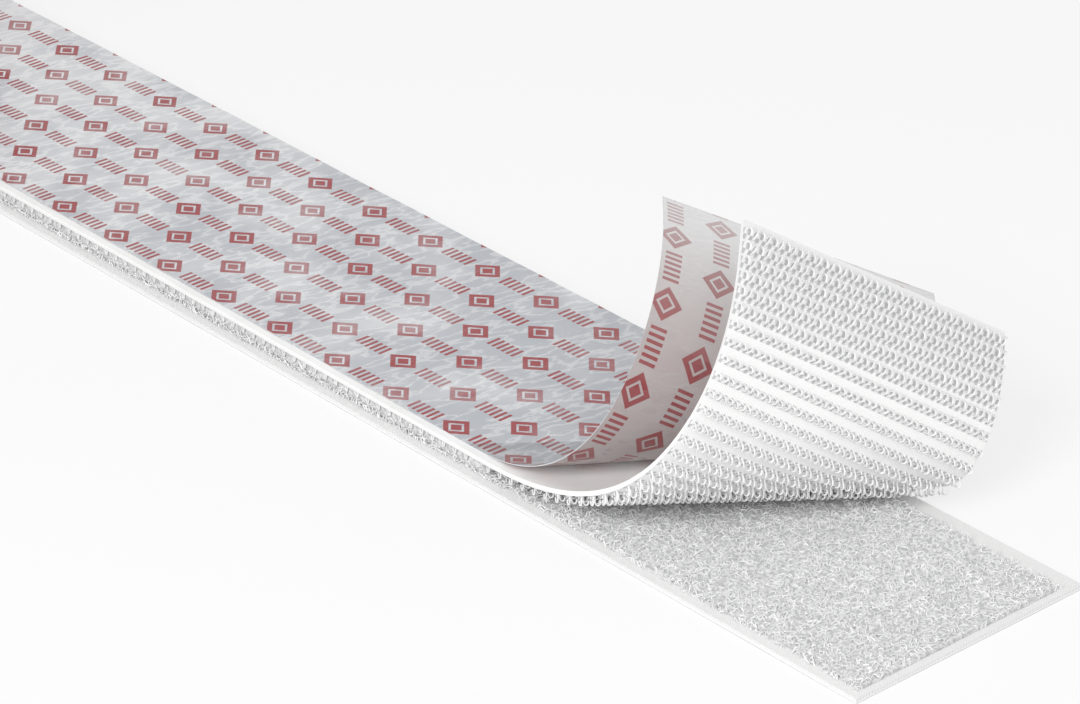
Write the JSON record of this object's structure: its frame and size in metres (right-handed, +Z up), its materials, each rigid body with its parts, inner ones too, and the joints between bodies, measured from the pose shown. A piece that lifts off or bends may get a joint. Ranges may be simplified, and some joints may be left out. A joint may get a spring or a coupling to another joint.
{
  "type": "hook and loop tape roll",
  "caption": "Wide hook and loop tape coming off a card core: hook half pressed on the loop half, peeled up at the free end, with its release film peeled back behind it.",
  "frame": {"origin": "on the table, in the middle of the flat strip's underside", "axes": "+X along the tape to its free end, +Y to the far edge, +Z up"},
  "size_m": [0.363, 0.0735, 0.086],
  "materials": {
    "card": "spiral-wound grey-brown card",
    "film": "translucent silvery release film",
    "adhesive": "thin glossy pressure-sensitive coat",
    "woven": "white woven nylon",
    "pile": "white looped nylon pile",
    "hooks": "white nylon monofilament hooks"
  },
  "bodies": {
    "wound_tape": {"core_tube": "card", "loop_film": "film", "loop_adhesive": "adhesive", "loop_backing": "woven", "loop_pile": "pile", "hook_field": "hooks", "hook_backing": "woven", "hook_adhesive": "adhesive", "hook_film": "film"},
    "hook_tape_1": {"hook_flap_1": "woven", "hook_flap_adhesive_1": "adhesive"},
    "hook_tape_2": {"hook_flap_2": "woven", "hook_flap_adhesive_2": "adhesive"},
    "hook_tape_3": {"hook_flap_3": "woven", "hook_flap_adhesive_3": "adhesive"},
    "hook_tape_4": {"hook_flap_4": "woven", "hook_flap_adhesive_4": "adhesive"},
    "film_1": {"film_flap_1": "film"},
    "film_2": {"film_flap_2": "film"},
    "film_3": {"film_flap_3": "film"}
  },
  "joints": [
    {"name": "hook_fold_1", "type": "hinge", "parent": "wound_tape", "child": "hook_tape_1", "pos_m": [0.099, 0.0012, 0.0042], "axis": [0.7208, 0.6931, 0], "range_deg": [0, 4.5], "stiffness_Nm_per_rad": 0.005},
    {"name": "hook_fold_2", "type": "hinge", "parent": "hook_tape_1", "child": "hook_tape_2", "pos_m": [0.10808, 0.00127, 0.00514], "axis": [0.6064, 0.7948, -0.0233], "range_deg": [0, 24], "stiffness_Nm_per_rad": 0.005},
    {"name": "hook_fold_3", "type": "hinge", "parent": "hook_tape_2", "child": "hook_tape_3", "pos_m": [0.11737, 0.00216, 0.00943], "axis": [0.4601, 0.8788, -0.1265], "range_deg": [0, 41], "stiffness_Nm_per_rad": 0.005},
    {"name": "hook_fold_4", "type": "hinge", "parent": "hook_tape_3", "child": "hook_tape_4", "pos_m": [0.12362, 0.00727, 0.02038], "axis": [0.3757, 0.8629, -0.338], "range_deg": [0, 50], "stiffness_Nm_per_rad": 0.005},
    {"name": "film_fold_1", "type": "hinge", "parent": "wound_tape", "child": "film_1", "pos_m": [0.09, 0.0019, 0.00477], "axis": [-0.6259, -0.7799, 0], "range_deg": [0, 14], "stiffness_Nm_per_rad": 0.01},
    {"name": "film_fold_2", "type": "hinge", "parent": "film_1", "child": "film_2", "pos_m": [0.10679, 0.00476, 0.01476], "axis": [-0.4343, -0.8864, 0.1602], "range_deg": [0, 14], "stiffness_Nm_per_rad": 0.01},
    {"name": "film_fold_3", "type": "hinge", "parent": "film_2", "child": "film_3", "pos_m": [0.10472, 0.01521, 0.02745], "axis": [-0.4894, -0.8109, 0.3206], "range_deg": [0, 14], "stiffness_Nm_per_rad": 0.01}
  ],
  "couplings": [
    {"joint": "hook_fold_1", "follows": "hook_fold_2", "ratio": 0.1836},
    {"joint": "hook_fold_3", "follows": "hook_fold_2", "ratio": 1.6925},
    {"joint": "hook_fold_4", "follows": "hook_fold_2", "ratio": 2.0515},
    {"joint": "film_fold_2", "follows": "film_fold_1", "ratio": 1},
    {"joint": "film_fold_3", "follows": "film_fold_1", "ratio": 1}
  ]
}
